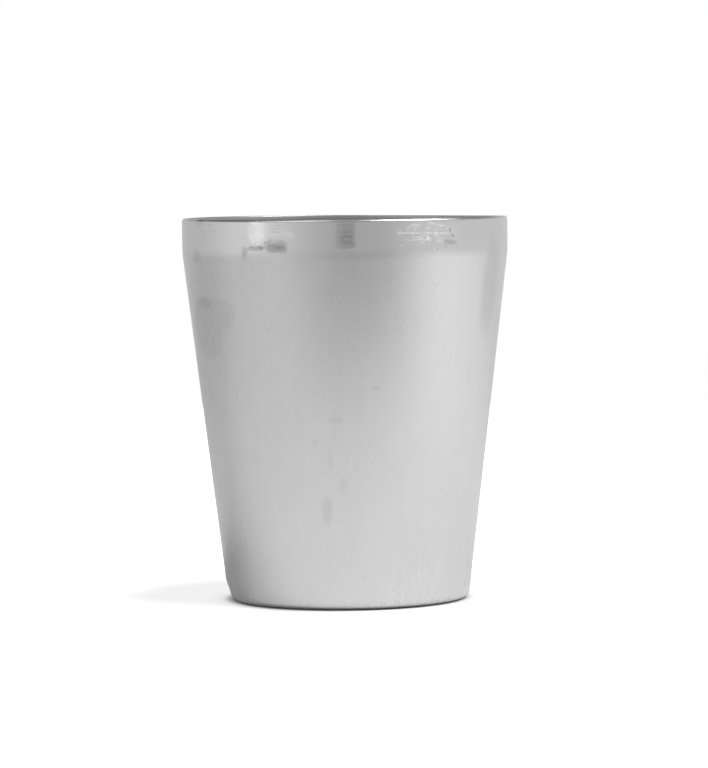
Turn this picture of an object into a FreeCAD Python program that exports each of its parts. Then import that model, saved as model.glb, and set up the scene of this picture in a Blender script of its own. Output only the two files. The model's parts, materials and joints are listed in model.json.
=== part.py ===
"""Deep drawn metal cup: one piece of aluminium sheet, pressed to a tapered wall with a straight collar.

Frame: +Z is the cup's axis and points out of the mouth. The origin is the centre of the flat foot,
on the surface that the cup stands on. All lengths are in millimetres.

The cup is built in the order in which it is made: the outline that the die gives the sheet, with the
bends that the metal is drawn over, then the sheet's own thickness, and last the trimmed and deburred mouth.
"""
import FreeCAD, Part
import Sketcher
import os

# Driving dimensions. Each is one size that a tool maker would set by itself.
SIZES = {
    "mouth_diameter": (74.0, "outside of the straight collar at the mouth"),
    "cup_height": (87.0, "foot to the edge of the mouth"),
    "collar_height": (7.8, "mouth down to where the collar and the tapered wall would meet"),
    "foot_diameter": (55.0, "where the tapered wall would meet the plane of the foot"),
    "foot_radius": (2.8, "outside radius of the corner between the foot and the wall"),
    "shoulder_radius": (15.0, "outside radius of the bend from the tapered wall to the collar"),
    "sheet_thickness": (1.0, "gauge of the sheet, the same in the foot, wall and collar"),
    "edge_break": (0.25, "chamfer that takes the burr off both edges of the trimmed mouth"),
}

# A point counts as lying on a ring of the cup when it is this close to it.
FIND_TOLERANCE = 1e-4


def add_sizes(doc):
    """Put every driving dimension in the sheet, beside a line of words that says what it is."""
    sheet = doc.addObject("Spreadsheet::Sheet", "sizes")
    for row, (name, (value, meaning)) in enumerate(SIZES.items(), start=1):
        sheet.set(f"A{row}", meaning)
        sheet.set(f"B{row}", str(value))
        sheet.setAlias(f"B{row}", name)
    doc.recompute()
    return sheet


def origin_plane(body, role):
    """Return one of the body's own origin planes, such as XZ_Plane."""
    return next(plane for plane in body.Origin.OriginFeatures if plane.Role == role)


def add_outline(doc, body, sheet):
    """Sketch half of the outer outline, from the axis out along the foot and up to the mouth."""
    foot_reach = sheet.foot_diameter / 2
    mouth_reach = sheet.mouth_diameter / 2
    collar_start = sheet.cup_height - sheet.collar_height
    corners = [
        FreeCAD.Vector(0, 0, 0),
        FreeCAD.Vector(foot_reach, 0, 0),
        FreeCAD.Vector(mouth_reach, collar_start, 0),
        FreeCAD.Vector(mouth_reach, sheet.cup_height, 0),
        FreeCAD.Vector(0, sheet.cup_height, 0),
    ]
    foot, wall, collar, mouth, axis = range(len(corners))
    start, end = 1, 2
    origin = (-1, 1)

    sketch = body.newObject("Sketcher::SketchObject", "outline")
    sketch.AttachmentSupport = [(origin_plane(body, "XZ_Plane"), "")]
    sketch.MapMode = "FlatFace"
    for here, there in zip(corners, corners[1:] + corners[:1]):
        sketch.addGeometry(Part.LineSegment(here, there), False)
    for line in range(len(corners)):
        following = (line + 1) % len(corners)
        sketch.addConstraint(Sketcher.Constraint("Coincident", line, end, following, start))
    sketch.addConstraint(Sketcher.Constraint("Coincident", foot, start, *origin))
    sketch.addConstraint(Sketcher.Constraint("Horizontal", foot))
    sketch.addConstraint(Sketcher.Constraint("Vertical", collar))
    sketch.addConstraint(Sketcher.Constraint("Horizontal", mouth))
    sketch.addConstraint(Sketcher.Constraint("Vertical", axis))

    measures = [
        ("DistanceX", foot, start, foot, end, foot_reach, "sizes.foot_diameter / 2"),
        ("DistanceX", mouth, end, mouth, start, mouth_reach, "sizes.mouth_diameter / 2"),
        ("DistanceY", collar, start, collar, end, sheet.collar_height, "sizes.collar_height"),
        ("DistanceY", axis, end, axis, start, sheet.cup_height, "sizes.cup_height"),
    ]
    for kind, first, first_end, second, second_end, value, formula in measures:
        measure = Sketcher.Constraint(kind, first, first_end, second, second_end, value)
        number = sketch.addConstraint(measure)
        sketch.setExpression(f"Constraints[{number}]", formula)
    doc.recompute()

    # Each bend keeps its sharp corner as a point, and the measures above still run to that point.
    bends = [(foot, "foot_radius"), (wall, "shoulder_radius")]
    for line, size in bends:
        radius = getattr(sheet, size)
        bend = sketch.GeometryCount
        sketch.fillet(line, end, radius, True, True)
        number = sketch.addConstraint(Sketcher.Constraint("Radius", bend, radius))
        sketch.setExpression(f"Constraints[{number}]", f"sizes.{size}")
        doc.recompute()
    return sketch


def ring_edges(feature, radius, height):
    """Name the feature's round edges about the axis that have this radius and height."""
    names = []
    for number, edge in enumerate(feature.Shape.Edges, start=1):
        if not isinstance(edge.Curve, Part.Circle):
            continue
        wide = abs(edge.Curve.Radius - radius) < FIND_TOLERANCE
        level = abs(edge.Curve.Center.z - height) < FIND_TOLERANCE
        if wide and level:
            names.append(f"Edge{number}")
    return names


def flat_face_at(feature, height):
    """Name the feature's flat face that lies at this height."""
    for number, face in enumerate(feature.Shape.Faces, start=1):
        flat = isinstance(face.Surface, Part.Plane)
        if flat and abs(face.CenterOfMass.z - height) < FIND_TOLERANCE:
            return f"Face{number}"
    raise RuntimeError(f"no flat face at {height} mm")


def add_cup(doc, sheet):
    """Draw the cup: the outline turned round the axis, hollowed to the sheet, its mouth deburred."""
    body = doc.addObject("PartDesign::Body", "cup")
    body.Label = "cup"
    mouth_reach = sheet.mouth_diameter / 2

    outline = add_outline(doc, body, sheet)
    draw = body.newObject("PartDesign::Revolution", "draw")
    draw.Profile = outline
    draw.ReferenceAxis = (outline, ["V_Axis"])
    draw.Angle = 360
    doc.recompute()

    hollow = body.newObject("PartDesign::Thickness", "hollow")
    hollow.Base = (draw, [flat_face_at(draw, sheet.cup_height)])
    hollow.Mode = "Skin"
    hollow.Join = "Intersection"
    hollow.Reversed = True
    hollow.setExpression("Value", "sizes.sheet_thickness")
    doc.recompute()

    outer_edge = ring_edges(hollow, mouth_reach, sheet.cup_height)
    inner_edge = ring_edges(hollow, mouth_reach - sheet.sheet_thickness, sheet.cup_height)
    mouth_edge = body.newObject("PartDesign::Chamfer", "mouth_edge")
    mouth_edge.Base = (hollow, outer_edge + inner_edge)
    mouth_edge.setExpression("Size", "sizes.edge_break")
    doc.recompute()
    return body


def check(doc, parts):
    """Stop if any object of the document failed, or any part isn't one valid solid."""
    for item in doc.Objects:
        if {"Invalid", "Error"} & set(item.State):
            raise RuntimeError(f"{item.Name} failed: {item.State}")
    for part in parts:
        if part.Shape.isNull() or not part.Shape.isValid():
            raise RuntimeError(f"{part.Label} has no valid shape")
        if len(part.Shape.Solids) != 1:
            raise RuntimeError(f"{part.Label} has {len(part.Shape.Solids)} solids, not one")


def report(parts):
    """Print each finished part's volume and bounds."""
    for part in parts:
        box = part.Shape.optimalBoundingBox(False)
        print(f"{part.Label}: {part.Shape.Volume:.1f} mm3 of metal")
        print(f"bounds X {box.XMin:.2f} to {box.XMax:.2f}, Z {box.ZMin:.2f} to {box.ZMax:.2f}")


doc = FreeCAD.newDocument("drawn_cup")
sheet = add_sizes(doc)
parts = [add_cup(doc, sheet)]
check(doc, parts)
report(parts)

os.makedirs("parts", exist_ok=True)
for part in parts:
    part.Shape.exportStep(f"parts/{part.Label}.step")
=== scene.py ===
# %% [markdown]
# # A deep drawn metal cup
#
# The real cup is one disc of aluminium sheet, pushed through a ring by a punch until it stands up
# as a tapered wall. The last stretch below the mouth stays straight: that is the collar. Nothing
# was painted or polished afterwards, so all of its looks are bare metal and the marks of the press
# and of handling.
#
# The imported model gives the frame: where the cup stands and how large it is. This file gives it
# its looks, in small steps, from the camera and the light to the last scratch.

# %% Load the frame
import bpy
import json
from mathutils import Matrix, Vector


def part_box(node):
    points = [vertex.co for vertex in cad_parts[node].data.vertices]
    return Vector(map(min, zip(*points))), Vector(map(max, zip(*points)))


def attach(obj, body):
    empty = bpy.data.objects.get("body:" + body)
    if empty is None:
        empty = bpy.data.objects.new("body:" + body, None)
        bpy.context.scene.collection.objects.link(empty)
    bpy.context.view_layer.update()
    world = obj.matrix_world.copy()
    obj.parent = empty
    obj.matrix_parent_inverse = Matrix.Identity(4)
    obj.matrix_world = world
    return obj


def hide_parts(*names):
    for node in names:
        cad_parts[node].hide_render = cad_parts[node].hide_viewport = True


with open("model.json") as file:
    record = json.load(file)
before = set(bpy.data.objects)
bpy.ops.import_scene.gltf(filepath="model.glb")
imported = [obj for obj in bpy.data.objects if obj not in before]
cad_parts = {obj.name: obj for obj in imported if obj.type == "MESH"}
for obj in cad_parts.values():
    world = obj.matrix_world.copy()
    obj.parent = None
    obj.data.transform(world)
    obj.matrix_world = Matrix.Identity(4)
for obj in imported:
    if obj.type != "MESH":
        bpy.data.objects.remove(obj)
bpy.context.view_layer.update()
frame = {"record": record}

# %% The modules that the lesson uses
import json
import math

import bmesh
import bpy
from mathutils import Matrix, Vector

# %% [markdown]
# ## Sizes
#
# Everything is in metres. The height, the mouth and the thickness of the sheet are read from the
# frame, so they can't drift from the model. The bends, the foot and the collar are the tool
# maker's sizes, which no box shows.

# %% The cup's sizes
MM = 0.001
_, cup_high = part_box("cup")
HEIGHT = cup_high.z
MOUTH_RADIUS = cup_high.x
mouth = next(mount for mount in frame["record"]["mounts"] if mount["name"] == "mouth")
SHEET = MOUTH_RADIUS - mouth["dims"]["r_mm"] * MM
COLLAR = 7.8 * MM
FOOT_RADIUS = 27.5 * MM
FOOT_BEND = 2.8 * MM
SHOULDER_BEND = 15.0 * MM
SHOULDER_HEIGHT = HEIGHT - COLLAR
LEAN = math.atan((MOUTH_RADIUS - FOOT_RADIUS) / SHOULDER_HEIGHT)
print(f"height {HEIGHT:.4f}, mouth radius {MOUTH_RADIUS:.4f}, sheet {SHEET:.4f}")
print(f"the wall leans {math.degrees(LEAN):.2f} degrees outwards")

# %% [markdown]
# ## The camera
#
# A product shot is taken from far away with a long lens, so that the sides stay nearly parallel.
# The camera stands a little above the mouth and looks slightly down. The mouth closes to a thin
# line of light, and the foot's front edge still curves. It comes first, because every finish
# below is judged through it.

# %% Set up the camera
CAMERA_AWAY = 0.880
CAMERA_HEIGHT = 0.100
LENS_MM = 181.08
TILT_DOWN = math.radians(3.327)
TURN_RIGHT = math.radians(0.113)
ROLL = math.radians(-0.625)

camera_data = bpy.data.cameras.new("product_camera")
camera_data.lens = LENS_MM
camera_data.clip_start = 0.01
camera_data.clip_end = 50
camera = bpy.data.objects.new("product_camera", camera_data)
bpy.context.scene.collection.objects.link(camera)
level = Matrix.Rotation(-TURN_RIGHT, 4, "Z") @ Matrix.Rotation(math.pi / 2 - TILT_DOWN, 4, "X")
camera.rotation_euler = (level @ Matrix.Rotation(ROLL, 4, "Z")).to_euler()
camera.location = (0, -CAMERA_AWAY, CAMERA_HEIGHT)
bpy.context.scene.camera = camera
bpy.context.scene.view_settings.view_transform = "Standard"
print("camera at", tuple(camera.location))

# %% [markdown]
# ## Shader maths that reads like maths
#
# A material here is a sum of simple patterns, and wiring a Math node for every plus sign hides the
# idea. The class below wraps a node's socket and overloads the operators, so that
# `1 - mask * 0.5` adds the two Math nodes itself. Python's plain numbers stay plain numbers: a
# node is only added where something varies.

# %% A value in a shader
class Value:
    """A number that a shader works out: a socket, with the operators that the patterns need."""

    def __init__(self, tree, socket):
        self.tree = tree
        self.socket = socket

    def math(self, operation, *others, clamp=False):
        """Add a Math node that has this value in its first socket."""
        node = self.tree.nodes.new("ShaderNodeMath")
        node.operation = operation
        node.use_clamp = clamp
        for place, item in enumerate((self, *others)):
            if isinstance(item, Value):
                self.tree.links.new(item.socket, node.inputs[place])
            else:
                node.inputs[place].default_value = item
        return Value(self.tree, node.outputs[0])

    def __add__(self, other):
        return self.math("ADD", other)

    def __sub__(self, other):
        return self.math("SUBTRACT", other)

    def __rsub__(self, other):
        return (self * -1).math("ADD", other)

    def __mul__(self, other):
        return self.math("MULTIPLY", other)

    def __truediv__(self, other):
        return self.math("DIVIDE", other)

    __radd__ = __add__
    __rmul__ = __mul__

    def clamp(self):
        """Keep the value between 0 and 1."""
        return self.math("ADD", 0.0, clamp=True)

    def size(self):
        """The value without its sign."""
        return self.math("ABSOLUTE")

    def ramp(self, low, high):
        """Rise smoothly from 0 at low to 1 at high. A low above high falls instead."""
        node = self.tree.nodes.new("ShaderNodeMapRange")
        node.interpolation_type = "SMOOTHSTEP"
        node.inputs["From Min"].default_value = low
        node.inputs["From Max"].default_value = high
        self.tree.links.new(self.socket, node.inputs["Value"])
        return Value(self.tree, node.outputs["Result"])

print("a value knows +, -, *, /, clamp, size and ramp")

# %% A node tree
class Shader:
    """A material's or the world's node tree, with one method that adds any node."""

    def __init__(self, owner):
        owner.use_nodes = True
        self.tree = owner.node_tree
        self.tree.nodes.clear()

    def node(self, kind, settings=None, **inputs):
        """Add a node: first its settings, then the values or links of its sockets.

        An underscore in a socket's name stands for a space.
        """
        made = self.tree.nodes.new(kind)
        for name, setting in (settings or {}).items():
            setattr(made, name, setting)
        for name, item in inputs.items():
            socket = made.inputs[name.replace("_", " ")]
            if isinstance(item, Value):
                self.tree.links.new(item.socket, socket)
            else:
                socket.default_value = item
        return made

    def value(self, made, output=0):
        """Wrap one output of a node."""
        return Value(self.tree, made.outputs[output])

    def split(self, vector):
        """The three parts of a vector, as values."""
        parts = self.node("ShaderNodeSeparateXYZ", Vector=vector)
        return [self.value(parts, axis) for axis in "XYZ"]

    def grey(self, tone):
        """A colour with the same value in red, green and blue."""
        return self.value(self.node("ShaderNodeCombineColor", Red=tone, Green=tone, Blue=tone))

    def finish(self, surface, output="ShaderNodeOutputMaterial"):
        """Wire the shader to the output, and say how many nodes it took."""
        end = self.node(output)
        self.tree.links.new(surface.outputs[0], end.inputs["Surface"])
        print("nodes:", len(self.tree.nodes))

print("shader helpers ready")

# %% [markdown]
# ## The studio
#
# The cup stands on a round white floor in a white room, with no edge to be seen between them.
# Metal has hardly any looks of its own: it shows the room. A room that is equally white all round
# would make it look like paper, so three things break up the walls: a reflector at the front left,
# the dark corner where the camera and its crew stand, and a duller corner at the back left. Each
# is a soft bump on a plain wall tone: a strength, a direction, and how far to each side it reaches.
# A tall white panel hangs over the front left as well. Only the rounded lip of the mouth looks up
# far enough to show it.
#
# To the camera itself the world is plain white, which Light Path's Is Camera Ray tells apart.
# The ceiling is dim, so that most of the floor's light comes from the lamps and the cup keeps a
# shadow.

# %% The room around the cup
def facing(turn, middle, edge, core):
    """1 within core degrees of a direction, falling softly to 0 at edge degrees from it."""
    return (turn - middle).size().ramp(edge, core)

CEILING = 0.16
PANEL = 1.5
WALL = 0.74
REFLECTOR = 0.18
CAMERA_CORNER = 0.19
BACK_CORNER = 0.12
world = bpy.data.worlds.new("studio")
bpy.context.scene.world = world
room = Shader(world)
across, away, up = room.split(room.value(room.node("ShaderNodeTexCoord"), "Generated"))
turn = across.math("ARCTAN2", away * -1) * math.degrees(1)
reflector = facing(turn, -68, 40, 10) * REFLECTOR
camera_corner = facing(turn, 8, 58, 10) * CAMERA_CORNER
back_corner = facing(turn, -140, 40, 10) * BACK_CORNER
walls = WALL + reflector - camera_corner - back_corner
overhead = up.ramp(math.sin(math.radians(8)), math.sin(math.radians(35)))
panel_rise = up.ramp(math.sin(math.radians(30)), math.sin(math.radians(44)))
panel = facing(turn, -47, 34, 20) * panel_rise
brightness = walls * (1 - overhead) + overhead * CEILING
brightness = brightness * (1 - panel) + panel * PANEL
seen = room.value(room.node("ShaderNodeLightPath"), "Is Camera Ray")
background = room.node(
    "ShaderNodeBackground", Color=(1, 1, 1, 1), Strength=seen + (1 - seen) * brightness
)
room.finish(background, "ShaderNodeOutputWorld")

# %% [markdown]
# ## The floor
#
# A single round face is enough for a floor. Its white paint reflects nearly all light, but shade is
# painted into it, and the polished wall tells the difference. Ahead of the cup, where the camera's
# tripod stands, painted shade darkens it, and the upper wall shows that as a soft dark wedge under
# the mouth. Behind the cup at the left a painted shadow makes it a little darker, and right beside
# the foot, where the least light gets in, a ring of painted shade darkens it as well.
#
# For the camera alone the floor also glows a little, more with distance, so that it reads as white
# while the shadow beside the foot stays.

# %% The floor
FLOOR_RADIUS = 0.70
floor_mesh = bpy.data.meshes.new("floor")
floor_bm = bmesh.new()
bmesh.ops.create_circle(floor_bm, cap_ends=True, segments=96, radius=FLOOR_RADIUS)
floor_bm.to_mesh(floor_mesh)
floor_bm.free()
floor = bpy.data.objects.new("floor", floor_mesh)
bpy.context.scene.collection.objects.link(floor)
print("floor:", FLOOR_RADIUS, "m in radius")

# %% Where shade is painted on the floor
FLOOR_WHITE = 0.93
TRIPOD_PAINTED_SHADE = 0.60
BACK_LEFT_PAINTED_SHADOW = 0.15
FOOT_PAINTED_SHADE = 0.20
paint_material = bpy.data.materials.new("white_floor")
paint = Shader(paint_material)
ground = paint.value(paint.node("ShaderNodeTexCoord"), "Object")
right, back, _ = paint.split(ground)
length = paint.node("ShaderNodeVectorMath", {"operation": "LENGTH"}, Vector=ground)
reach = paint.value(length, "Value")
turn = right.math("ARCTAN2", back * -1) * math.degrees(1)
# Painted shade on the floor ahead of the cup, where the camera's tripod stands.
tripod_painted_shade = reach.ramp(0.15, 0.34) * facing(turn, 10, 64, 6)
# Painted shadow on the floor behind the cup at the left.
back_left_painted_shadow = reach.ramp(0.05, 0.10) * facing(turn, -128, 45, 15)
# Painted shade in a ring on the floor right beside the foot.
painted_shade_beside_foot = reach.ramp(0.034, 0.027)
shade = FLOOR_WHITE - TRIPOD_PAINTED_SHADE * tripod_painted_shade
shade = shade * (1 - BACK_LEFT_PAINTED_SHADOW * back_left_painted_shadow) * (1 - FOOT_PAINTED_SHADE * painted_shade_beside_foot)

# %% The glow and the paint
seen = paint.value(paint.node("ShaderNodeLightPath"), "Is Camera Ray")
near_glow = (0.26 + 0.28 * right.ramp(-0.012, -0.028)) * reach.ramp(0.0262, 0.0295)
glow = seen * (near_glow + 0.8 * reach.ramp(0.044, 0.080))
matt = paint.node(
    "ShaderNodeBsdfPrincipled", Base_Color=paint.grey(shade), Roughness=0.9,
    Specular_IOR_Level=0.0, Emission_Color=(1, 1, 1, 1), Emission_Strength=glow,
)
paint.finish(matt)
floor_mesh.materials.append(paint_material)

# %% [markdown]
# ## The lamps
#
# One large softbox stands high at the front right: it draws the broad bright stripe on the right
# of the wall and throws the shadow to the back left. A smaller one nearer the cup firms the edge
# of that shadow. An area lamp looks along its own minus Z, so each is turned to face the cup.

# %% Softboxes
def softbox(name, place, width, power):
    """Hang a square area lamp at a place, facing the middle of the cup."""
    lamp_data = bpy.data.lights.new(name, "AREA")
    lamp_data.shape = "SQUARE"
    lamp_data.size = width
    lamp_data.energy = power
    lamp = bpy.data.objects.new(name, lamp_data)
    lamp.location = place
    aim = Vector((0, 0, HEIGHT / 2)) - Vector(place)
    lamp.rotation_euler = aim.to_track_quat("-Z", "Y").to_euler()
    bpy.context.scene.collection.objects.link(lamp)
    print(f"{name}: {power} W at {aim.length:.2f} m")

softbox("key", (0.62, -0.31, 0.98), 0.60, 8.2)
softbox("near", (0.38, -0.12, 0.62), 0.45, 1.0)

# %% [markdown]
# ## The cup's shape
#
# A drawn cup is round because the punch is, so its shape is half an outline spun about the middle.
# The outline is only four corners: the middle of the bottom, the foot, the shoulder and the mouth.
# Its lines are divided first, and then the two bends are rounded, each from the corner's own turn,
# so that the arcs have the press tool's true radii.

# %% Half an outline
BOTTOM_CUTS, WALL_CUTS, COLLAR_CUTS = 9, 63, 7
outline = bmesh.new()
corners = [
    (0, 0, 0),
    (FOOT_RADIUS, 0, 0),
    (MOUTH_RADIUS, 0, SHOULDER_HEIGHT),
    (MOUTH_RADIUS, 0, HEIGHT),
]
points = [outline.verts.new(corner) for corner in corners]
lines = [outline.edges.new(pair) for pair in zip(points, points[1:])]
for line, cuts in zip(lines, (BOTTOM_CUTS, WALL_CUTS, COLLAR_CUTS)):
    bmesh.ops.subdivide_edges(outline, edges=[line], cuts=cuts)
print("outline points before its bends:", len(outline.verts))

# %% Round the foot and the shoulder
def bend(corner, turn, radius, segments):
    """Round one corner of the outline to an arc of this radius."""
    vertex = min(outline.verts, key=lambda point: (point.co - Vector(corner)).length)
    bmesh.ops.bevel(
        outline, geom=[vertex], offset=radius * math.tan(turn / 2), offset_type="OFFSET",
        segments=segments, profile=0.5, affect="VERTICES", material=-1,
    )

bend(corners[1], math.pi / 2 - LEAN, FOOT_BEND, 10)
bend(corners[2], LEAN, SHOULDER_BEND, 6)
print("outline points with its bends:", len(outline.verts))

# %% [markdown]
# ## Spin the skin
#
# A full spin ends where it started. With use_merge the last step is joined to the first, and the
# ring of points left at the middle of the bottom is merged to one. Spin can turn a shape inside
# out, so the normals are worked out again while the skin is still a single sheet: after it has
# its thickness they would turn the inner wall round as well.

# %% Spin, merge and face outwards
AROUND = 256
SAME_PLACE = 1e-6
skin = outline
bmesh.ops.spin(
    skin, geom=skin.verts[:] + skin.edges[:], cent=(0, 0, 0), axis=(0, 0, 1), dvec=(0, 0, 0),
    angle=2 * math.pi, steps=AROUND, use_merge=True, use_duplicate=False,
)
bmesh.ops.remove_doubles(skin, verts=skin.verts[:], dist=SAME_PLACE)
bmesh.ops.recalc_face_normals(skin, faces=skin.faces[:])
underside = min(skin.faces, key=lambda face: face.calc_center_median().z)
if underside.normal.z > 0:
    bmesh.ops.reverse_faces(skin, faces=skin.faces[:])
print("faces in the skin:", len(skin.faces), "and the underside faces down")

# %% [markdown]
# ## Dents
#
# Thin sheet takes a dent from every knock. Here they are real shape, not paint: each pushes the
# skin in along a smooth bowl before the wall gets its thickness, so the inner wall bulges where
# the outer wall is hollow, as on the real cup. Every dent only goes inwards, and the cup stays in
# its box.

# %% Push in the dents
def dent(turn, height, wide, tall, depth):
    """Push in a bowl. The turn is in degrees right of the front, all else in millimetres."""
    moved = 0
    for vertex in skin.verts:
        radius = math.hypot(vertex.co.x, vertex.co.y)
        if radius < FOOT_RADIUS - 2 * FOOT_BEND:
            continue
        angle = math.atan2(vertex.co.x, -vertex.co.y) - math.radians(turn)
        sideways = math.remainder(angle, 2 * math.pi) * radius / (wide * MM)
        upwards = (vertex.co.z - height * MM) / (tall * MM)
        inwards = min(0, radius - FOOT_RADIUS) / (2 * FOOT_BEND)
        apart = math.hypot(sideways, upwards, inwards)
        if apart < 1:
            push = depth * MM * (1 - apart * apart) ** 2
            vertex.co.x *= 1 - push / radius
            vertex.co.y *= 1 - push / radius
            moved += 1
    return moved

DENTS = [
    # turn, height, half width, half height, depth
    (-53, 65, 7, 6, 0.10),
    (30, 84, 8, 5, 0.04),
    (-31, 84, 4, 4, 0.03),
    (64, 71, 6, 13, 0.10),
    (-88, 0.6, 19, 4.5, 0.75),
    (128, 46, 9, 12, 0.14),
    (-122, 38, 8, 6, 0.12),
    (172, 63, 10, 8, 0.12),
]
for place in DENTS:
    print("dent at", place[:2], "moves", dent(*place), "points")

# %% [markdown]
# ## The wall and the mouth's edge
#
# Solidify grows the sheet's thickness inwards from the skin, so the outside keeps its size. The
# mouth was trimmed square, and then the cups were tumbled together, which rounds the outer corner
# of the edge over most of the sheet and only breaks the inner one. That lip is what catches the
# light. Each corner gets its own bevel, because they differ.

# %% Thicken the skin
bmesh.ops.solidify(skin, geom=skin.faces[:], thickness=SHEET)
print("faces with both walls:", len(skin.faces))

# %% Round the mouth's edge
INNER_EDGE = 0.25 * MM
LIP = 0.68 * MM

def round_mouth(outer, rounding, segments):
    """Round the outer or the inner corner of the mouth's edge."""
    middle_of_sheet = MOUTH_RADIUS - SHEET / 2
    corner = [
        edge for edge in skin.edges
        if all(abs(point.co.z - HEIGHT) < SAME_PLACE for point in edge.verts)
        and all((point.co.xy.length > middle_of_sheet) == outer for point in edge.verts)
    ]
    bmesh.ops.bevel(
        skin, geom=corner, offset=rounding, offset_type="OFFSET", segments=segments,
        profile=0.5, affect="EDGES", material=-1,
    )
    print("edges rounded:", len(corner), "outer" if outer else "inner")

round_mouth(False, INNER_EDGE, 4)
round_mouth(True, LIP, 6)

# %% [markdown]
# ## A mouth that isn't quite level
#
# Rolled sheet is a little stronger along its length, so a drawn mouth comes out wavy, and trimming
# by hand leaves some of that. Here it dips by a third of a millimetre at the back right. The dip
# is spread over the whole collar, so nothing folds.

# %% Let the mouth dip
DIP = 0.35 * MM
DIP_TURN = math.radians(135)
DIP_HALF = math.radians(75)
for vertex in skin.verts:
    climb = (vertex.co.z - SHOULDER_HEIGHT) / COLLAR
    apart = math.remainder(math.atan2(vertex.co.x, -vertex.co.y) - DIP_TURN, 2 * math.pi)
    if climb > 0 and abs(apart) < DIP_HALF:
        vertex.co.z -= DIP * climb * math.cos(apart / DIP_HALF * math.pi / 2) ** 2
print("the mouth dips by", round(DIP / MM, 2), "mm")

# %% Make the cup's mesh
cup_mesh = bpy.data.meshes.new("drawn_cup")
for face in skin.faces:
    face.smooth = True
skin.to_mesh(cup_mesh)
skin.free()
cup = bpy.data.objects.new("drawn_cup", cup_mesh)
bpy.context.scene.collection.objects.link(cup)
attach(cup, "root")
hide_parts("cup")
print("triangles:", sum(len(face.vertices) - 2 for face in cup_mesh.polygons))

# %% [markdown]
# ## A shader that knows the cup
#
# Marks on a round cup are easiest to place as a maker would note them: how far round, and how high
# up. Object coordinates give the place in the mesh, so a pattern stays on the metal whatever looks
# at it. From them come the turn, in degrees to the right of the front, and the height in
# millimetres. Noise is read in three dimensions, so nothing shows a seam at the back.
#
# A mark is a distance from its centre, turned into a soft mask. A patch is round and a stroke has
# straight sides. A little noise added to the distance frays the edge, because real marks are
# never drawn with a compass.

# %% Turn, height and noise
class CupShader(Shader):
    """A shader with the cup's own coordinates and the patterns that its finishes share."""

    def __init__(self, owner):
        super().__init__(owner)
        self.place = self.value(self.node("ShaderNodeTexCoord"), "Object")
        right, back, up = self.split(self.place)
        self.turn = right.math("ARCTAN2", back * -1) * math.degrees(1)
        self.height = up / MM
        self.radius = (right * right + back * back).math("SQRT") / MM
        self.ragged = self.noise(1.1, 0.8, 3.0, 3.1) - 0.5

    def noise(self, around, up, detail=2.0, shift=0.0):
        """Noise about 0.5. Its grains are this many millimetres around and up the wall."""
        stretched = self.node(
            "ShaderNodeMapping", Vector=self.place, Location=(shift, shift, shift),
            Scale=(1 / (around * MM), 1 / (around * MM), 1 / (up * MM)),
        )
        texture = self.node(
            "ShaderNodeTexNoise", Vector=self.value(stretched), Scale=1.0, Detail=detail
        )
        return self.value(texture)

    def lines(self, around, up, width, detail=1.0, shift=0.0):
        """Thin wandering lines: where a stretched noise passes through its middle value."""
        return (self.noise(around, up, detail, shift) - 0.5).size().ramp(width, 0.0)

    def away_from(self, turn, height, wide, tall, fray, slant):
        """How far a place is from a mark's centre, in half widths and in half heights."""
        arc = math.radians(FOOT_RADIUS / MM + min(height, SHOULDER_HEIGHT / MM) * math.tan(LEAN))
        sideways = self.turn.math("MULTIPLY_ADD", arc / wide, -turn * arc / wide)
        upwards = self.height.math("MULTIPLY_ADD", 1 / tall, -height / tall)
        if slant:
            upwards = sideways.math("MULTIPLY_ADD", -slant * wide / tall, upwards)
        if fray:
            sideways = self.ragged.math("MULTIPLY_ADD", fray / wide, sideways)
            upwards = self.ragged.math("MULTIPLY_ADD", -fray / tall, upwards)
        return sideways, upwards

    def patch(self, turn, height, wide, tall, soft=0.4, fray=0.0, slant=0.0):
        """A rounded patch: its centre, its half sizes in mm, and its edge's softness (0 to 1)."""
        sideways, upwards = self.away_from(turn, height, wide, tall, fray, slant)
        apart = sideways.math("MULTIPLY_ADD", sideways, upwards * upwards)
        return apart.ramp((1 + soft) ** 2, (1 - soft) ** 2)

    def stroke(self, turn, height, wide, tall, soft=0.2, fray=0.0, slant=0.0):
        """A mark with straight sides: its centre, its half sizes and its edge, all in mm."""
        sideways, upwards = self.away_from(turn, height, wide, tall, fray, slant)
        sides = sideways.size().ramp(1 + soft / wide, 1 - soft / wide)
        return sides * upwards.size().ramp(1 + soft / tall, 1 - soft / tall)

    def total(self, marks):
        """Add up marks that are each a strength times a mask."""
        added = 0
        for mark in marks:
            added = mark + added
        return added

    def patches(self, table):
        """Add up rounded patches from a table: a strength, then what patch takes."""
        return self.total([self.patch(*place) * strength for strength, *place in table])

    def strokes(self, table):
        """Add up strokes from a table: a strength, then what stroke takes."""
        return self.total([self.stroke(*place) * strength for strength, *place in table])

print("the cup's coordinates are ready")

# %% [markdown]
# ## The outer metal
#
# Drawing leaves aluminium satin. The die drags fine lines up the wall, the sheet's own grain comes
# out as a faint cloudiness, and oil and handling leave specks and small scratches. All of these
# are slight, and most work on two things at once: a patch that is a little rougher also looks a
# little different in tone. The tone is a plain grey, with no tint.

# %% Clouds, draw lines and grain
metal_material = bpy.data.materials.new("drawn_aluminium")
metal = CupShader(metal_material)
clouds = metal.noise(17, 22, 3.0, 1.7) - 0.5
mottle = metal.noise(3.4, 4.8, 3.0, 5.3) - 0.5
grain = metal.noise(0.7, 0.9, 2.0, 9.2) - 0.5
draw_lines = metal.noise(0.5, 24, 2.0, 2.4) - 0.5
broad_draw = metal.noise(2.4, 70, 2.0, 7.7) - 0.5
print("soft patterns ready")

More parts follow.
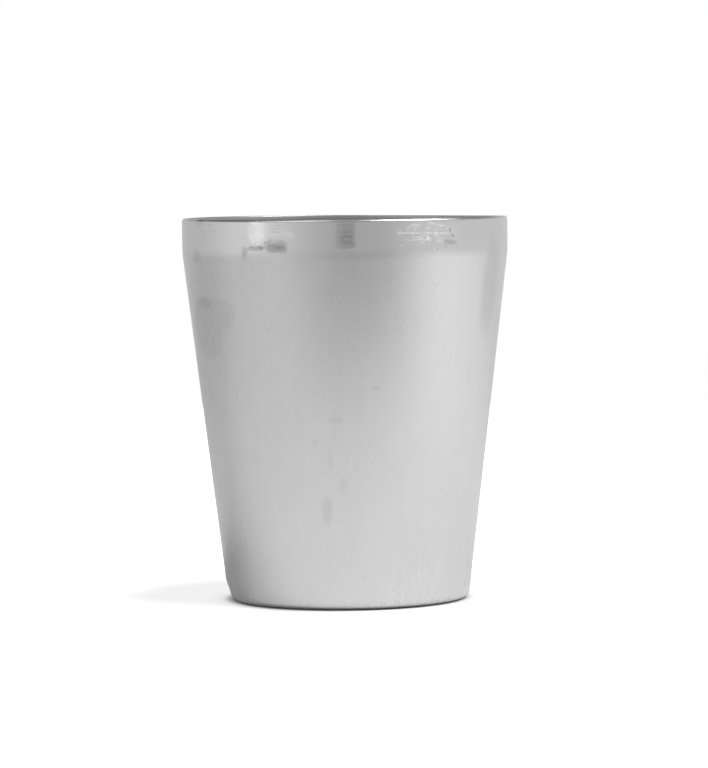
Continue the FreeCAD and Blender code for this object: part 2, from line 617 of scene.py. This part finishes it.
# %% Specks and small scratches
pits = metal.noise(0.55, 0.7, 1.0, 14.2).ramp(0.74, 0.80)
where_scratched = metal.noise(9, 5, 2.0, 11.0).ramp(0.54, 0.66)
scratches_across = metal.lines(7.0, 0.9, 0.010, 1.0, 17.1) * where_scratched
where_dragged = metal.noise(6, 14, 2.0, 31.0).ramp(0.56, 0.68)
scratches_up = metal.lines(0.9, 14.0, 0.012, 1.0, 23.0) * where_dragged
print("small marks ready")

# %% [markdown]
# ## The collar and its marks
#
# The straight collar was the last metal through the die, and it has been gripped, knocked and
# rubbed the most. Its marks are placed one by one, in tables: burnished spots whose lighter tone
# is a painted highlight, patches of painted shade where the collar meets the wall, a scuff across
# the front with a painted dark reflection, and a patch of crinkled metal at the right whose sparkle
# is painted in as highlights. Each row is a strength and a place.

# %% Patterns that the marks are filled with
off_the_lip = metal.height.ramp(HEIGHT / MM - 0.25, HEIGHT / MM - 0.8)
worms = metal.lines(1.9, 0.66, 0.11, 1.0, 4.9) * metal.noise(1.6, 1.1, 1.0, 2.2).ramp(0.40, 0.52)
broken = metal.noise(1.3, 1.3, 1.0, 8.4).ramp(0.36, 0.50)
streaks = metal.noise(1.7, 0.26, 1.0, 12.4).ramp(0.36, 0.62)
print("fillings ready")

# %% The burnished spots, with painted highlights
# Painted highlight: these spots are smoother, and their lighter tone paints in a reflection.
burnished_and_painted_highlight = metal.patches([
    # strength, turn, height, half width, half height, softness, fray, slant
    (0.15, -31.9, 84.4, 2.1, 2.9, 0.30, 0.5),
    (0.07, -29.6, 85.6, 1.7, 2.4, 0.70, 0.5),
    (0.10, -32.5, 86.6, 0.9, 0.6, 0.60, 0.5),
    (0.04, -31.7, 83.3, 1.5, 0.7, 0.80, 0.4),
    (0.07, -19.2, 83.8, 1.1, 0.55, 0.80, 0.2, -0.30),
    (0.05, -24.7, 83.7, 1.1, 0.24, 0.80, 0.1),
    (0.40, -27.7, 82.55, 0.26, 0.10, 0.70, 0.05),
])
print("burnished spots ready")

# %% Painted shade where the collar meets the wall
# Painted shade: these patches darken the tone where the collar meets the wall, and make it rougher
# there too.
painted_shade_patches = metal.patches([
    (0.12, -24.9, 80.35, 1.7, 0.60, 0.50, 0.5),
    (0.12, -21.9, 80.75, 1.0, 0.42, 0.60, 0.4),
    (0.25, -31.6, 80.75, 2.4, 0.46, 0.50, 0.4, 0.05),
    (0.20, -29.9, 80.85, 0.5, 0.26, 0.60, 0.3),
    (0.17, -36.6, 79.8, 0.66, 1.05, 0.60, 0.3, -0.35),
    (0.09, -37.3, 78.6, 0.50, 1.0, 0.80, 0.3),
])
painted_shade_main = metal.stroke(-23.7, 80.75, 2.35, 0.95, 0.55, 0.6, -0.07)
painted_shade_top = metal.patch(-24.2, 81.8, 2.5, 0.95, 0.40, 0.7, -0.02)
painted_shade_patches = metal.total([painted_shade_patches, painted_shade_main * 0.22, painted_shade_top * (0.08 + 0.14 * streaks)])
# Painted highlight: this crinkled strip has real relief, and its sparkle is painted lighter.
collar_foot_crinkle_and_painted_highlight = metal.patch(-31.8, 81.5, 1.7, 0.55, 0.40, 0.6, -0.25) * worms
collar_foot_pits = metal.patches([
    (0.26, -33.8, 81.1, 0.18, 0.16, 0.60, 0.2),
    (0.20, -32.6, 81.75, 0.55, 0.12, 0.60, 0.3, 0.1),
    (0.18, -28.2, 81.8, 0.20, 0.50, 0.60, 0.3),
])
print("the smear is ready")

# %% The scuff across the front, with a painted dark reflection
# Painted reflection: the scuff's dark band paints in a dark reflection over a rougher scuff; its
# scratch lines are real, and the glint is a painted highlight.
scuff_and_painted_reflection = metal.strokes([
    (0.17, 0.3, 83.6, 2.1, 2.9, 0.55, 0.9),
    (0.10, 0.9, 83.2, 1.2, 2.5, 0.60, 1.0),
    (0.09, 0.5, 82.8, 1.2, 0.75, 0.45, 0.8),
])
SCUFF_HEIGHTS = (85.9, 84.2, 83.2, 81.9, 80.7)
scuff_lines = metal.total([
    metal.stroke(0.5, height, 1.7, 0.13, 0.34, 0.55) for height in SCUFF_HEIGHTS
])
scuff_glint = metal.patch(0.6, 82.6, 0.5, 0.16, 0.7, 0.3)
print("the scuff is ready")

# %% The crinkled patch and its painted highlights
# Painted highlight: the crinkles are real relief, and their lighter tone paints in the sparkle.
crinkled_and_painted_highlight = metal.patch(28.8, 83.8, 6.9, 2.3, 0.22, 1.2)
crinkle_line_and_painted_highlight = metal.stroke(29.3, 83.72, 7.3, 0.11, 0.20, 0.2, -0.02) * (0.35 + broken)
crinkle_painted_highlights = metal.patches([
    (0.24, 24.6, 85.5, 1.3, 0.14, 0.60, 0.2, 0.05),
    (0.22, 31.4, 85.9, 0.8, 0.15, 0.60, 0.3, -0.2),
    (0.24, 35.0, 85.3, 1.2, 0.17, 0.60, 0.4, -0.1),
    (0.26, 25.8, 82.9, 1.3, 0.15, 0.60, 0.25),
    (0.30, 25.6, 82.35, 1.3, 0.17, 0.60, 0.3, 0.06),
    (0.26, 29.6, 82.6, 0.45, 0.45, 0.60, 0.5),
    (0.14, 29.9, 84.8, 0.42, 0.40, 0.70, 0.6),
    (0.20, 22.9, 82.1, 0.25, 0.20, 0.60, 0.2),
    (0.20, 20.3, 81.3, 0.75, 0.13, 0.60, 0.2, 0.35),
    (0.18, 32.2, 80.3, 0.24, 0.36, 0.60, 0.2),
])
print("crinkles ready")

# %% The knocks and ticks
knocks = metal.patches([
    (0.38, 38.9, 84.25, 0.20, 0.42, 0.50, 0.3, -0.8),
    (0.38, 40.0, 83.2, 0.26, 0.42, 0.50, 0.4, -0.6),
    (0.20, 39.2, 81.65, 1.6, 0.46, 0.50, 0.6, -0.1),
    (0.12, 36.9, 81.0, 0.22, 0.75, 0.70, 0.3),
    (0.16, 33.0, 80.25, 0.22, 0.22, 0.60, 0.2),
    (0.10, 44.7, 84.4, 0.09, 0.55, 0.70, 0.1),
    (0.12, 20.0, 81.65, 0.30, 0.16, 0.60, 0.2),
    (0.44, -60.6, 86.75, 0.95, 0.22, 0.60, 0.3),
    (0.12, -61.0, 86.2, 1.6, 0.50, 0.80, 0.5),
    (0.14, -53.7, 85.75, 0.8, 0.20, 0.60, 0.3),
    (0.20, -52.6, 84.3, 0.28, 0.24, 0.60, 0.2),
    (0.06, -50.9, 85.2, 0.12, 1.10, 0.70, 0.2, 0.0),
    (0.05, -40.0, 85.9, 0.6, 0.30, 0.70, 0.3),
    (0.14, -64.0, 78.6, 1.6, 1.1, 0.80, 0.8),
    (0.10, -24.9, 85.0, 0.95, 0.10, 0.60, 0.1),
    (0.14, -24.6, 84.3, 0.80, 0.11, 0.60, 0.1),
    (0.08, -23.4, 85.8, 0.55, 0.10, 0.60, 0.1),
])
print("knocks ready")

# %% [markdown]
# ## Marks on the wall
#
# The tapered wall has few marks, and faint ones: smudges that run up and down, pinhead spots, a
# dull stretch at the right, and the dent at the upper left, with painted shade on its floor, its
# upper lip and a lobe, and a painted highlight on the lobe's right edge.

# %% The wall's smudges
wall_smudges = metal.patches([
    # strength, turn, height, half width, half height, softness, fray, slant
    (0.09, -8.6, 22.6, 0.9, 2.4, 0.8, 1.2),
    (0.07, -4.3, 42.9, 1.2, 0.7, 0.8, 1.0),
    (0.09, 11.2, 49.6, 0.7, 0.3, 0.7, 0.8),
    (0.12, -56.2, 44.7, 0.4, 0.4, 0.6, 0.5),
    (0.05, -12.9, 37.7, 0.7, 0.6, 0.8, 0.8),
    (0.05, -6.7, 33.7, 0.4, 1.5, 0.8, 0.8),
    (0.05, -1.6, 28.3, 0.7, 1.3, 0.8, 0.8),
    (0.05, -19.6, 44.4, 0.4, 0.5, 0.8, 0.8),
    (0.12, 64.0, 71.0, 3.4, 9.0, 0.5, 1.0),
])
# Painted shade and highlight: the dent's floor, lobe and upper lip are painted darker, and the
# lobe's right edge lighter.
dent_floor_painted_shade = metal.patch(-63.0, 62.6, 7.0, 7.0, 0.12, 0.8)
dent_lobe_painted_shade = metal.patch(-50.6, 66.2, 4.0, 3.2, 0.10, 0.4)
dent_lip_painted_shade = metal.patch(-61.8, 68.5, 3.0, 1.0, 0.7, 0.8)
dent_painted_highlight = metal.patch(-46.3, 65.3, 0.18, 1.0, 0.7, 0.2)
print("the wall's marks are ready")

# %% [markdown]
# ## Put the outer metal together
#
# Tone multiplies: every pattern is a few percent either side of the plain metal. Roughness adds.
# The relief is a height in hundredths of a millimetre, and the Bump node turns it into a slope.

# %% The outer metal's tone
METAL_TONE = 0.68
METAL_ROUGHNESS = 0.28
lighter = metal.total([
    burnished_and_painted_highlight, crinkled_and_painted_highlight * worms * 0.19, crinkle_line_and_painted_highlight * 0.30, crinkle_painted_highlights * 0.9, collar_foot_crinkle_and_painted_highlight * 0.12,
    scuff_glint * 0.20, dent_painted_highlight * 0.12, scratches_up * 0.02,
])
darker = metal.total([
    painted_shade_patches, collar_foot_pits, scuff_and_painted_reflection, scuff_lines * 0.13, knocks, wall_smudges,
    dent_floor_painted_shade.math("MAXIMUM", dent_lobe_painted_shade) * 0.07, dent_lip_painted_shade * 0.10, pits * 0.015,
    scratches_across * 0.02,
])
patterns = metal.total([
    clouds * 0.10, mottle * 0.04, grain * 0.006, draw_lines * 0.012, broad_draw * 0.035,
])
tone = (patterns + 1) * (lighter + 1) * (1 - darker) * METAL_TONE

# %% The outer metal's roughness and relief
roughness = metal.total([
    clouds * 0.05, mottle * 0.03, draw_lines * 0.02, scuff_and_painted_reflection * 0.3, painted_shade_patches * 0.25,
    burnished_and_painted_highlight * -0.2, wall_smudges * 0.3,
]) + METAL_ROUGHNESS
relief = metal.total([
    mottle * 0.55, grain * 0.04, draw_lines * 0.03, crinkled_and_painted_highlight * worms * 1.2, crinkle_line_and_painted_highlight * 0.8,
    scuff_lines * -0.4, scratches_up * -0.05, scratches_across * -0.05, knocks * -4.0,
    collar_foot_crinkle_and_painted_highlight * 0.8, collar_foot_pits * -2.0, pits * -0.1,
]) * off_the_lip
slope = metal.node("ShaderNodeBump", Strength=1.0, Distance=0.01 * MM, Height=relief)
aluminium = metal.node(
    "ShaderNodeBsdfPrincipled", Metallic=1.0, Base_Color=metal.grey(tone.clamp()),
    Roughness=roughness.clamp(), Normal=metal.value(slope),
)
metal.finish(aluminium)

# %% [markdown]
# ## The inner metal
#
# The inside is duller and darker than the outside, with a cloudy haze, a tone that is darker and
# rougher towards the bottom, the punch's draw lines up the wall, and rings where the bottom was
# pressed flat.

# %% The inner metal
INSIDE_TONE = 0.50
INSIDE_ROUGHNESS = 0.38
inside_material = bpy.data.materials.new("drawn_aluminium_inside")
inside = CupShader(inside_material)
haze = inside.noise(14, 18, 3.0, 41.0) - 0.5
inner_mottle = inside.noise(3.0, 4.0, 3.0, 45.0) - 0.5
punch_lines = inside.noise(0.6, 30, 2.0, 43.0) - 0.5
bottom = inside.height.ramp(4.0, 2.0)
ring_place = inside.node("ShaderNodeCombineXYZ", X=inside.radius / 0.8)
rings = inside.node("ShaderNodeTexNoise", Vector=inside.value(ring_place), Scale=1.0, Detail=2.0)
rings = (inside.value(rings) - 0.5) * bottom
# Darker and rougher towards the bottom.
toward_the_bottom = inside.height.ramp(45, 2)
tone = inside.total([
    haze * 0.12, inner_mottle * 0.08, punch_lines * (1 - bottom) * 0.08, rings * 0.12,
    toward_the_bottom * -0.06,
]) + 1
roughness = inside.total([haze * 0.08, inner_mottle * 0.05, toward_the_bottom * 0.06]) + INSIDE_ROUGHNESS
relief = inside.total([inner_mottle * 0.8, punch_lines * 0.2, rings * 0.8])
slope = inside.node("ShaderNodeBump", Strength=1.0, Distance=0.01 * MM, Height=relief)
aluminium = inside.node(
    "ShaderNodeBsdfPrincipled", Metallic=1.0, Normal=inside.value(slope),
    Base_Color=inside.grey((tone * INSIDE_TONE).clamp()), Roughness=roughness.clamp(),
)
inside.finish(aluminium)

# %% [markdown]
# ## Give each face its metal
#
# A face belongs to the inside when it looks towards a point in the middle of the cup. That is true
# for the whole inner wall and bottom. The flat of the mouth's edge looks up: it is outer metal.

# %% Sort the faces
cup_mesh.materials.append(metal_material)
cup_mesh.materials.append(inside_material)
middle = Vector((0, 0, HEIGHT * 0.6))
for face in cup_mesh.polygons:
    face.material_index = int((middle - face.center).dot(face.normal) > 0.001)
print("faces inside:", sum(face.material_index for face in cup_mesh.polygons))
